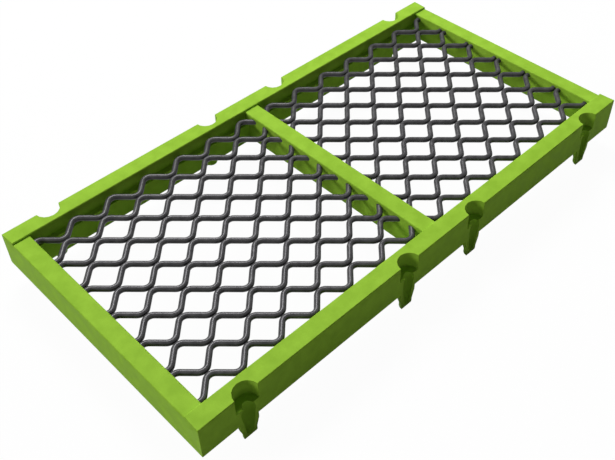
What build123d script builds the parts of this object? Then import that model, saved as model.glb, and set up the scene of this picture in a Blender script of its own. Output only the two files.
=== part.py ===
from build123d import *
import math
import os

os.makedirs("parts", exist_ok=True)

# Modular screen panel for a vibrating deck. X runs along the long side, Y across, Z up.
# The origin is the middle of the seat plane, the flat underside of the rails.
# All sizes are in millimetres.

# Module
panel_length = 610.0
panel_width = 305.0
panel_height = 40.0

# Side rails, whose foot is wider than the top
rail_width = 19.0
rail_ledge = 5.8
rail_ledge_height = 23.6
rail_edge_break = 0.8

# End rails and crossbar, a little lower than the side rails
end_width = 19.5
bar_width = 19.5
cross_drop = 2.2
end_lean = 0.8
opening_relief = 4.0
cross_edge_round = 1.5

# Pin seats, half in this panel and half in its neighbour
pin_inset = 50.8
seat_radius = 12.6
seat_depth = 19.6

# Tapered socket under each pin seat: how far below the seat, and its radius there
socket_steps = {
    "mouth": (0, 5.4),
    "arch": (3.0, 7.3),
    "shoulder": (8.0, 8.0),
    "tip": (38.0, 4.2),
}
socket_point = 41.4

# Half legs that snap into the deck's holes: how far below the rails, and the radius there
leg_steps = {
    "root": (0, 10.9),
    "barb": (6.8, 10.9),
    "neck": (17.5, 7.6),
    "foot": (22.3, 7.6),
    "tip": (23.8, 6.6),
}

# Flats round a full circle, on the round forms that repeat at each pin
round_flats = 16

# How far a cutter reaches past the face that it opens
cut_overshoot = 5.0

# Wave wires
wire_count = 12
wire_diameter = 5.7
wire_gap = 0.85
wire_depth = 8.3
mesh_margin = 2.7
wave_length = 43.6
bend_flat = 6.5
wire_embed = 8.0
least_end_run = 1.4
socket_clearance = 0.05

# Sizes worked out from those above
half_length = panel_length / 2
half_width = panel_width / 2
rail_inside = half_width - rail_width
cross_top = panel_height - cross_drop
cross_reach = half_width - rail_width / 2
opening_end = half_length - end_width
seat_floor = panel_height - seat_depth
pin_stations = [
    ((0, 0, turn), (end * place, side * half_width, 0))
    for side, turn in ((1, 180), (-1, 0))
    for end in (-1, 1)
    for place in (pin_inset, half_length - pin_inset)
]
wire_height = panel_height - wire_depth
wire_reach = opening_end + wire_embed
wire_spacing = 2 * (rail_inside - mesh_margin) / wire_count
half_wave = wave_length / 2
wave_height = wire_spacing - wire_diameter - wire_gap
flank_slope = wave_height / (half_wave - bend_flat)
# a hexagon with the area of the round wire, measured across its flats
wire_flats = wire_diameter * math.sqrt(math.pi / (2 * math.sqrt(3)))


def wave_side(x, phase):
    """How far to the side a wave wire's centre line is at x."""
    bend = round(x / half_wave)
    crest = phase * (-1) ** bend * wave_height / 2
    past_flat = max(abs(x - bend * half_wave) - bend_flat / 2, 0)
    return crest * (1 - past_flat * flank_slope * 2 / wave_height)


def wave_path(middle, phase, reach):
    """Corner points of one wave wire, from end to end."""
    stops = [-reach]
    last_bend = math.ceil(reach / half_wave)
    for bend in range(-last_bend, last_bend + 1):
        for corner in (-bend_flat / 2, bend_flat / 2):
            x = bend * half_wave + corner
            if abs(x) < reach - least_end_run:
                stops.append(x)
    stops.append(reach)
    return [(x, middle + wave_side(x, phase), wire_height) for x in stops]


def wave_bar(points, flats):
    """A hexagonal bar bent along the points, with an edge on top."""
    with BuildPart() as bar:
        with BuildLine() as path:
            Polyline(*points)
        start = Plane(origin=path.line @ 0, x_dir=(0, 0, 1), z_dir=path.line % 0)
        with BuildSketch(start):
            RegularPolygon(radius=flats / 2, side_count=6, major_radius=False)
        sweep(transition=Transition.RIGHT)
    return bar


# Wires: neighbours are a half wave apart, so their crests come together
wire_rows = []
for row in range(wire_count):
    middle = ((wire_count - 1) / 2 - row) * wire_spacing
    phase = -1 if row % 2 == 0 else 1
    wire_rows.append((middle, phase))

for row, (middle, phase) in enumerate(wire_rows):
    wire = wave_bar(wave_path(middle, phase, wire_reach), wire_flats)
    wire.part.label = f"wire_{row + 1:02d}"
    export_step(wire.part, f"parts/{wire.part.label}.step")

# The moulding is cast round the wires, so its sockets follow them with a clearance
socket_reach = wire_reach + socket_clearance
socket_flats = wire_flats + 2 * socket_clearance
sockets = [
    wave_bar(wave_path(middle, phase, socket_reach), socket_flats)
    for middle, phase in wire_rows
]

# One half leg, flat on the side that faces out of the panel
with BuildPart() as half_leg:
    for drop, radius in leg_steps.values():
        with BuildSketch(Plane.XY.offset(-drop)):
            RegularPolygon(radius, round_flats)
    loft(ruled=True)
    split(bisect_by=Plane.XZ, keep=Keep.BOTTOM)

# The hollow of a pin seat: a pocket for the pin's head, over a socket for its shank
with BuildPart() as seat_cutter:
    with BuildSketch(Plane.XY.offset(seat_floor)):
        RegularPolygon(seat_radius, round_flats)
    extrude(amount=seat_depth + cut_overshoot)
    for drop, radius in socket_steps.values():
        with BuildSketch(Plane.XY.offset(seat_floor - drop)):
            RegularPolygon(radius, round_flats)
    loft(ruled=True)
    socket_end = seat_cutter.faces().sort_by(Axis.Z)[0]
    loft(sections=[socket_end, Vertex(0, 0, seat_floor - socket_point)], ruled=True)

# Moulded frame
with BuildPart() as frame:
    # side rails with their ledges
    for side in (1, -1):
        with BuildSketch(Plane.YZ.offset(-half_length)):
            with BuildLine():
                Polyline(
                    (side * half_width, 0),
                    (side * half_width, panel_height),
                    (side * rail_inside, panel_height),
                    (side * rail_inside, rail_ledge_height),
                    (side * (rail_inside - rail_ledge), rail_ledge_height),
                    (side * (rail_inside - rail_ledge), 0),
                    close=True,
                )
            rail_face = make_face()
            chamfer(rail_face.vertices().group_by(Axis.Y)[-1], rail_edge_break)
        extrude(amount=panel_length)

    # end rails, whose outer face leans in towards the top
    for end in (1, -1):
        with BuildSketch(Plane.XZ):
            with BuildLine():
                Polyline(
                    (end * half_length, 0),
                    (end * (half_length - end_lean), cross_top),
                    (end * opening_end, cross_top),
                    (end * opening_end, opening_relief),
                    (end * (opening_end + opening_relief), 0),
                    close=True,
                )
            end_face = make_face()
            fillet(end_face.vertices().group_by(Axis.Y)[-1], cross_edge_round)
        extrude(amount=cross_reach, both=True)

    # crossbar in the middle
    with BuildSketch(Plane.XZ):
        with BuildLine():
            Polyline(
                (-bar_width / 2 + opening_relief, 0),
                (-bar_width / 2, opening_relief),
                (-bar_width / 2, cross_top),
                (bar_width / 2, cross_top),
                (bar_width / 2, opening_relief),
                (bar_width / 2 - opening_relief, 0),
                close=True,
            )
        bar_face = make_face()
        fillet(bar_face.vertices().group_by(Axis.Y)[-1], cross_edge_round)
    extrude(amount=cross_reach, both=True)

    # half legs under the outer faces of the side rails
    for turn, station in pin_stations:
        add(half_leg.part.moved(Location(station, turn)))

    # half pin seats in the outer faces of the side rails
    for turn, station in pin_stations:
        add(seat_cutter.part.moved(Location(station, turn)), mode=Mode.SUBTRACT)

    # sockets of the wires
    for bar in sockets:
        add(bar.part, mode=Mode.SUBTRACT)

frame.part.label = "panel_frame"
export_step(frame.part, "parts/panel_frame.step")
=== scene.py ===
import math

import bmesh
import bpy
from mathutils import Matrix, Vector


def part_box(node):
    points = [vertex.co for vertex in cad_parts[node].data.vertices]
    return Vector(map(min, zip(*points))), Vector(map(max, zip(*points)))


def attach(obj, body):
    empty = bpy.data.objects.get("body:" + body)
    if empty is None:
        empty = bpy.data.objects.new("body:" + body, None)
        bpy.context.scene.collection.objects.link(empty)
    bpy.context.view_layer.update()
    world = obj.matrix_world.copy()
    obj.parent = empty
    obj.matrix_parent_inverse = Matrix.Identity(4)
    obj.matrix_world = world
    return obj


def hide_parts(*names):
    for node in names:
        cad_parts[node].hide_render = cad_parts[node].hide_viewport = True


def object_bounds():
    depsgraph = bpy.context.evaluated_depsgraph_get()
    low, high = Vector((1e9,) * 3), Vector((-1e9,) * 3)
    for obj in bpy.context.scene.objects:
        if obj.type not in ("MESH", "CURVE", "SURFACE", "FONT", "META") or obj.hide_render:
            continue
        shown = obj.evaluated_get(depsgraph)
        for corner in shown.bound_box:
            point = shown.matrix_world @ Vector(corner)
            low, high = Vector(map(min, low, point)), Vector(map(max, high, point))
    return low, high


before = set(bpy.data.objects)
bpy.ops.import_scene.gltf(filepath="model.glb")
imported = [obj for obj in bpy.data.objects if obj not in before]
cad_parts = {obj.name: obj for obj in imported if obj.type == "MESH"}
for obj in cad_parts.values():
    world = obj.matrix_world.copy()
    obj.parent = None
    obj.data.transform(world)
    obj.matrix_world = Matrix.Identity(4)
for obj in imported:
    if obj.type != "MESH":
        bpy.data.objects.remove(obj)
cad_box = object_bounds()

MM = 0.001

# The photograph's frame, in pixels
IMAGE_WIDTH = 615
IMAGE_HEIGHT = 460

# The camera that fits the photograph
FOCAL_PIXELS = 860.19
CENTRE_X = 330.17
CENTRE_Y = 194.91
CAMERA_PLACE = Vector((-487.41, -484.30, 643.73)) * MM
CAMERA_LOOK = Vector((0.51140, 0.51394, -0.68872))
CLIP_NEAR = 0.05
CLIP_FAR = 20

# Wave wires, in millimetres
WIRE_DIAMETER = 6.1
WAVE_LENGTH = 43.6
BEND_RADIUS = 8.0
FLANK_ANGLE = math.radians(45.3)
BEND_STEPS = 8
WIRE_SIDES = 16

# The moulding, in millimetres: sizes that it shares with the solid
END_WIDTH = 19.5
BAR_WIDTH = 19.5
END_LEAN = 0.8
CROSS_TOP = 37.8

# How its mesh is worked, in millimetres
EDGE_ROUND = 0.45
EDGE_STEPS = 2
EDGE_PROFILE = 0.5
LEAST_EDGE = 6.0
SAME_POINT = 0.002
SOCKET_SPARE = 0.4
RAIL_SPARE = 1.5
ROUND_FACET = 5.0
CORNER_ANGLE = math.radians(60)
SHARP_ANGLE = math.radians(50)
FLAT_ANGLE = math.radians(0.5)

# The share of the noise's range that each pattern uses
PATCH_RANGE = (0.35, 0.65)
GRAIN_RANGE = (0.3, 0.7)

# Polyurethane, with its patterns in millimetres
LIME_DEEP = (0.297, 0.537, 0.043)
LIME_LIGHT = (0.359, 0.629, 0.057)
LIME_SPECK = (0.264, 0.479, 0.036)
LIME_ROUGHNESS = (0.42, 0.52)
LIME_IOR = 1.25
LIME_GLOSS = 0.03
MOTTLE_SIZE = 14
SPECK_SHARE = 0.35
GRAIN_SIZE = 0.9
GRAIN_DEPTH = 0.03
RIPPLE_SIZE = 9
RIPPLE_DEPTH = 0.10

# Wire steel, with its patterns in millimetres
STEEL_DARK = (0.058, 0.057, 0.060)
STEEL_LIGHT = (0.085, 0.084, 0.087)
STEEL_ROUGHNESS = (0.28, 0.38)
STEEL_METAL = 0.33
STEEL_GLOSS = 0.05
OXIDE_SIZE = 7
DRAWN_SIZE = 0.6
DRAWN_DEPTH = 0.02

# The studio, in metres and Blender's own units of light
FLOOR_REACH = 6.0
FLOOR_GLOW = 0.97
FLOOR_PALE = 0.9
FLOOR_DARK = 0.53
SKY_LIGHT = 0.08
SIDE_ENERGY = 1.20
SIDE_SPREAD = math.radians(20)
SIDE_PLACE = Vector((-1, 1, 1))
SIDE_AIM = Vector((0.80, -0.45, -0.42))
TOP_ENERGY = 55.5
TOP_SIZE = 0.9
TOP_PLACE = Vector((0.55, 1.28, 2.03))


def camera_at_photo():
    """The camera at the photograph's place, looking the way it did."""
    data = bpy.data.cameras.new("camera")
    data.sensor_fit = "HORIZONTAL"
    data.lens = data.sensor_width * FOCAL_PIXELS / IMAGE_WIDTH
    data.shift_x = (IMAGE_WIDTH / 2 - CENTRE_X) / IMAGE_WIDTH
    data.shift_y = (CENTRE_Y - IMAGE_HEIGHT / 2) / IMAGE_WIDTH
    data.clip_start = CLIP_NEAR
    data.clip_end = CLIP_FAR
    camera = bpy.data.objects.new("camera", data)
    camera.location = CAMERA_PLACE
    camera.rotation_mode = "QUATERNION"
    camera.rotation_quaternion = CAMERA_LOOK.to_track_quat("-Z", "Y")
    bpy.context.scene.collection.objects.link(camera)
    bpy.context.scene.camera = camera


def new_material(name):
    """A material with its Principled shader, node tree and a coordinate in millimetres."""
    material = bpy.data.materials.new(name)
    material.use_nodes = True
    nodes = material.node_tree.nodes
    links = material.node_tree.links
    shader = next(n for n in nodes if n.type == "BSDF_PRINCIPLED")
    place = nodes.new("ShaderNodeTexCoord")
    scale = nodes.new("ShaderNodeVectorMath")
    scale.operation = "SCALE"
    scale.inputs["Scale"].default_value = 1 / MM
    links.new(place.outputs["Object"], scale.inputs[0])
    return material, nodes, links, shader, scale.outputs[0]


def noise(nodes, links, place, size, detail):
    """Noise whose blobs are about size millimetres wide."""
    texture = nodes.new("ShaderNodeTexNoise")
    texture.inputs["Scale"].default_value = 1 / size
    texture.inputs["Detail"].default_value = detail
    links.new(place, texture.inputs["Vector"])
    return texture.outputs["Fac"]


def spread(nodes, links, value, low, high, out_low, out_high):
    """Value from low to high, brought to out_low to out_high."""
    node = nodes.new("ShaderNodeMapRange")
    node.inputs["From Min"].default_value = low
    node.inputs["From Max"].default_value = high
    node.inputs["To Min"].default_value = out_low
    node.inputs["To Max"].default_value = out_high
    links.new(value, node.inputs["Value"])
    return node.outputs["Result"]


def blend(nodes, links, factor, first, second):
    """Colour first where factor is 0 and second where it is 1."""
    node = nodes.new("ShaderNodeMix")
    node.data_type = "RGBA"
    links.new(factor, node.inputs["Factor"])
    for socket, colour in (("A", first), ("B", second)):
        target = next(s for s in node.inputs if s.name == socket and s.type == "RGBA")
        if isinstance(colour, tuple):
            target.default_value = (*colour, 1)
        else:
            links.new(colour, target)
    return next(s for s in node.outputs if s.type == "RGBA")


def add_bump(nodes, links, shader, height, depth, after=None):
    """Bump of the given depth in millimetres, on top of the one in after."""
    node = nodes.new("ShaderNodeBump")
    node.inputs["Distance"].default_value = depth * MM
    links.new(height, node.inputs["Height"])
    if after:
        links.new(after, node.inputs["Normal"])
    links.new(node.outputs["Normal"], shader.inputs["Normal"])
    return node.outputs["Normal"]


def polyurethane():
    """Lime green moulded polyurethane, slightly mottled, with a fine grain."""
    material, nodes, links, shader, place = new_material("polyurethane")
    patches = noise(nodes, links, place, MOTTLE_SIZE, detail=4)
    mottle = spread(nodes, links, patches, *PATCH_RANGE, 0, 1)
    grain = noise(nodes, links, place, GRAIN_SIZE, detail=3)
    base = blend(nodes, links, mottle, LIME_DEEP, LIME_LIGHT)
    speck = spread(nodes, links, grain, *GRAIN_RANGE, 0, SPECK_SHARE)
    colour = blend(nodes, links, speck, base, LIME_SPECK)
    links.new(colour, shader.inputs["Base Color"])
    rough = spread(nodes, links, mottle, 0, 1, *LIME_ROUGHNESS)
    links.new(rough, shader.inputs["Roughness"])
    shader.inputs["IOR"].default_value = LIME_IOR
    shader.inputs["Specular IOR Level"].default_value = LIME_GLOSS
    ripple = noise(nodes, links, place, RIPPLE_SIZE, detail=2)
    rippled = add_bump(nodes, links, shader, ripple, RIPPLE_DEPTH)
    add_bump(nodes, links, shader, grain, GRAIN_DEPTH, rippled)
    return material


def wire_steel():
    """Dark drawn spring steel, with a fine uneven skin and a thin oxide."""
    material, nodes, links, shader, place = new_material("wire_steel")
    patches = noise(nodes, links, place, OXIDE_SIZE, detail=3)
    oxide = spread(nodes, links, patches, *PATCH_RANGE, 0, 1)
    colour = blend(nodes, links, oxide, STEEL_DARK, STEEL_LIGHT)
    links.new(colour, shader.inputs["Base Color"])
    shader.inputs["Metallic"].default_value = STEEL_METAL
    shader.inputs["Specular IOR Level"].default_value = STEEL_GLOSS
    rough = spread(nodes, links, oxide, 0, 1, *STEEL_ROUGHNESS)
    links.new(rough, shader.inputs["Roughness"])
    drawn = noise(nodes, links, place, DRAWN_SIZE, detail=2)
    add_bump(nodes, links, shader, drawn, DRAWN_DEPTH)
    return material


def wave_line(reach, phase):
    """Centre points of a wave wire with round bends, from -reach to reach, in millimetres."""
    half_wave = WAVE_LENGTH / 2
    bend_half = BEND_RADIUS * math.sin(FLANK_ANGLE)
    bend_rise = BEND_RADIUS * (1 - math.cos(FLANK_ANGLE))
    flank_rise = (half_wave / 2 - bend_half) * math.tan(FLANK_ANGLE)
    crest = bend_rise + flank_rise
    points = []
    last_bend = math.ceil(reach / half_wave)
    for bend in range(-last_bend, last_bend + 1):
        sign = phase * (-1) ** bend
        for step in range(-BEND_STEPS // 2, BEND_STEPS // 2 + 1):
            angle = FLANK_ANGLE * 2 * step / BEND_STEPS
            x = bend * half_wave + BEND_RADIUS * math.sin(angle)
            y = sign * (crest - BEND_RADIUS * (1 - math.cos(angle)))
            points.append(Vector((x, y, 0)))
    return [p for p in points if abs(p.x) < reach]


def tube(name, points, radius, sides):
    """A round tube with closed ends along the points, in metres."""
    mesh = bpy.data.meshes.new(name)
    work = bmesh.new()
    rings = []
    for i, point in enumerate(points):
        before = points[max(i - 1, 0)]
        after = points[min(i + 1, len(points) - 1)]
        along = (after - before).normalized()
        side = along.cross(Vector((0, 0, 1))).normalized()
        up = side.cross(along)
        ring = []
        for k in range(sides):
            turn = 2 * math.pi * k / sides
            out = math.cos(turn) * side + math.sin(turn) * up
            ring.append(work.verts.new(point + radius * out))
        rings.append(ring)
    for first, second in zip(rings, rings[1:]):
        for k in range(sides):
            n = (k + 1) % sides
            work.faces.new((first[k], first[n], second[n], second[k]))
    work.faces.new(reversed(rings[0]))
    work.faces.new(rings[-1])
    bmesh.ops.recalc_face_normals(work, faces=work.faces)
    for face in work.faces:
        face.smooth = len(face.verts) == 4
    work.to_mesh(mesh)
    work.free()
    piece = bpy.data.objects.new(name, mesh)
    bpy.context.scene.collection.objects.link(piece)
    return piece


def add_wires(material):
    """A round wave wire in the place of each wire of the frame."""
    for node in sorted(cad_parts):
        if not node.startswith("wire"):
            continue
        low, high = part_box(node)
        middle = (low + high) / 2
        row = int(node.split("_")[1])
        phase = -1 if row % 2 == 1 else 1
        reach = (high.x - low.x) / 2 / MM - WIRE_DIAMETER / 2
        points = [middle + p * MM for p in wave_line(reach, phase)]
        name = node.replace("wire", "round_wire")
        piece = tube(name, points, WIRE_DIAMETER / 2 * MM, WIRE_SIDES)
        piece.data.materials.append(material)
        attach(piece, "root")
        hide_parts(node)


def in_a_socket(point, wire_boxes):
    """Is a point of the moulding on one of the sockets that the wires sit in?"""
    spare = SOCKET_SPARE * MM
    return any(
        all(low[k] - spare < point[k] < high[k] + spare for k in range(3))
        for low, high in wire_boxes
    )


def close_sockets(work, half_length):
    """Takes the flat sided sockets out of the moulding, so that it closes round the wires."""
    wire_boxes = [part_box(node) for node in sorted(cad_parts) if node.startswith("wire")]
    inner_planes = (half_length - END_WIDTH * MM, BAR_WIDTH / 2 * MM)
    sockets = {v for v in work.verts if in_a_socket(v.co, wire_boxes)}
    inside = []
    for face in work.faces:
        if not all(v in sockets for v in face.verts):
            continue
        flush = any(
            all(abs(abs(v.co.x) - plane) < SAME_POINT * MM for v in face.verts)
            for plane in inner_planes
        )
        if not flush:
            inside.append(face)
    bmesh.ops.delete(work, geom=inside, context="FACES")
    rims = [e for e in work.edges if e.is_boundary]
    bmesh.ops.holes_fill(work, edges=rims)


def join_ends(work, half_length, half_width):
    """Brings the inner corners of the side rails' ends onto the leaning faces of the end rails."""
    for vert in work.verts:
        point = vert.co
        at_end = abs(point.x) > half_length - (END_LEAN + SAME_POINT) * MM
        if at_end and abs(point.y) < half_width - RAIL_SPARE * MM:
            lean = END_LEAN / CROSS_TOP * point.z
            point.x = math.copysign(half_length - lean, point.x)
    bmesh.ops.remove_doubles(work, verts=work.verts, dist=SAME_POINT * MM)


def on_joint(edge, half_length, half_width):
    """Does an edge run up the joint between a side rail's end and a leaning end face?"""
    return all(
        abs(v.co.x) > half_length - (END_LEAN + SAME_POINT) * MM
        and abs(v.co.y) < half_width - RAIL_SPARE * MM
        and v.co.z > EDGE_ROUND * MM
        for v in edge.verts
    )


def is_narrow(face):
    """Is a face one facet of a round form or of a softened edge?"""
    around = sum(e.calc_length() for e in face.edges)
    return 2 * face.calc_area() / around < ROUND_FACET * MM


def add_moulding(material):
    """The moulding's own solid, with softened edges and smooth round forms."""
    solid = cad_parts["panel_frame"]
    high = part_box("panel_frame")[1]
    mesh = bpy.data.meshes.new("moulding")
    work = bmesh.new()
    work.from_mesh(solid.data)
    bmesh.ops.remove_doubles(work, verts=work.verts, dist=SAME_POINT * MM)
    close_sockets(work, high.x)
    join_ends(work, high.x, high.y)
    bmesh.ops.dissolve_limit(
        work, angle_limit=FLAT_ANGLE, verts=work.verts, edges=work.edges
    )
    corners = [
        e
        for e in work.edges
        if len(e.link_faces) == 2
        and e.calc_face_angle() > CORNER_ANGLE
        and e.calc_length() > LEAST_EDGE * MM
        and not on_joint(e, high.x, high.y)
    ]
    bmesh.ops.bevel(
        work,
        geom=corners,
        offset=EDGE_ROUND * MM,
        offset_type="OFFSET",
        segments=EDGE_STEPS,
        profile=EDGE_PROFILE,
        affect="EDGES",
        clamp_overlap=False,
    )
    bmesh.ops.recalc_face_normals(work, faces=work.faces)
    narrow = [is_narrow(face) for face in work.faces]
    work.to_mesh(mesh)
    work.free()
    old_normals = mesh.attributes.get("custom_normal")
    if old_normals:
        mesh.attributes.remove(old_normals)
    mesh.set_sharp_from_angle(angle=SHARP_ANGLE)
    mesh.polygons.foreach_set("use_smooth", narrow)
    mesh.materials.append(material)
    piece = bpy.data.objects.new("moulding", mesh)
    bpy.context.scene.collection.objects.link(piece)
    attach(piece, "root")
    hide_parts("panel_frame")


def seen_directly(nodes, links):
    """1 for rays that show the background: from the camera, in a reflection or through glass."""
    rays = nodes.new("ShaderNodeLightPath")
    total = rays.outputs["Is Camera Ray"]
    for kind in ("Is Glossy Ray", "Is Transmission Ray"):
        either = nodes.new("ShaderNodeMath")
        either.operation = "MAXIMUM"
        links.new(total, either.inputs[0])
        links.new(rays.outputs[kind], either.inputs[1])
        total = either.outputs[0]
    return total


def add_floor():
    """A white floor that keeps a faint shadow and sends half of the lamps' light back up."""
    underside = cad_box[0][2]
    mesh = bpy.data.meshes.new("floor")
    corners = [(-1, -1), (1, -1), (1, 1), (-1, 1)]
    points = [(x * FLOOR_REACH, y * FLOOR_REACH, underside) for x, y in corners]
    mesh.from_pydata(points, [], [(0, 1, 2, 3)])
    floor = bpy.data.objects.new("floor", mesh)
    bpy.context.scene.collection.objects.link(floor)

    material = bpy.data.materials.new("floor")
    material.use_nodes = True
    nodes = material.node_tree.nodes
    links = material.node_tree.links
    nodes.clear()
    output = nodes.new("ShaderNodeOutputMaterial")
    shown = seen_directly(nodes, links)
    matt = nodes.new("ShaderNodeBsdfDiffuse")
    tone = blend(nodes, links, shown, (FLOOR_DARK,) * 3, (FLOOR_PALE,) * 3)
    links.new(tone, matt.inputs["Color"])
    glow = nodes.new("ShaderNodeEmission")
    glow.inputs["Strength"].default_value = 1.0
    share = spread(nodes, links, shown, 0, 1, 0, FLOOR_GLOW)
    mix = nodes.new("ShaderNodeMixShader")
    links.new(share, mix.inputs[0])
    links.new(matt.outputs[0], mix.inputs[1])
    links.new(glow.outputs[0], mix.inputs[2])
    links.new(mix.outputs[0], output.inputs["Surface"])
    mesh.materials.append(material)


def add_world():
    """A white background that lights the object softly."""
    world = bpy.data.worlds.new("world")
    bpy.context.scene.world = world
    world.use_nodes = True
    nodes = world.node_tree.nodes
    links = world.node_tree.links
    nodes.clear()
    output = nodes.new("ShaderNodeOutputWorld")
    sky = nodes.new("ShaderNodeBackground")
    sky.inputs["Color"].default_value = (1, 1, 1, 1)
    strength = spread(nodes, links, seen_directly(nodes, links), 0, 1, SKY_LIGHT, 1)
    links.new(strength, sky.inputs["Strength"])
    links.new(sky.outputs[0], output.inputs["Surface"])


def add_lamp(name, kind, energy, place, aim):
    """A lamp at place that points along aim."""
    data = bpy.data.lights.new(name, kind)
    data.energy = energy
    lamp = bpy.data.objects.new(name, data)
    lamp.location = place
    lamp.rotation_mode = "QUATERNION"
    lamp.rotation_quaternion = aim.to_track_quat("-Z", "Y")
    bpy.context.scene.collection.objects.link(lamp)
    return lamp


def add_lamps():
    """A soft sun from the near end, and a wide lamp above the far end."""
    sun = add_lamp("side_light", "SUN", SIDE_ENERGY, SIDE_PLACE, SIDE_AIM)
    sun.data.angle = SIDE_SPREAD
    top = add_lamp("top_light", "AREA", TOP_ENERGY, TOP_PLACE, -TOP_PLACE)
    top.data.size = TOP_SIZE


bpy.context.scene.view_settings.view_transform = "Standard"
camera_at_photo()
add_floor()
add_world()
add_lamps()
add_moulding(polyurethane())
add_wires(wire_steel())
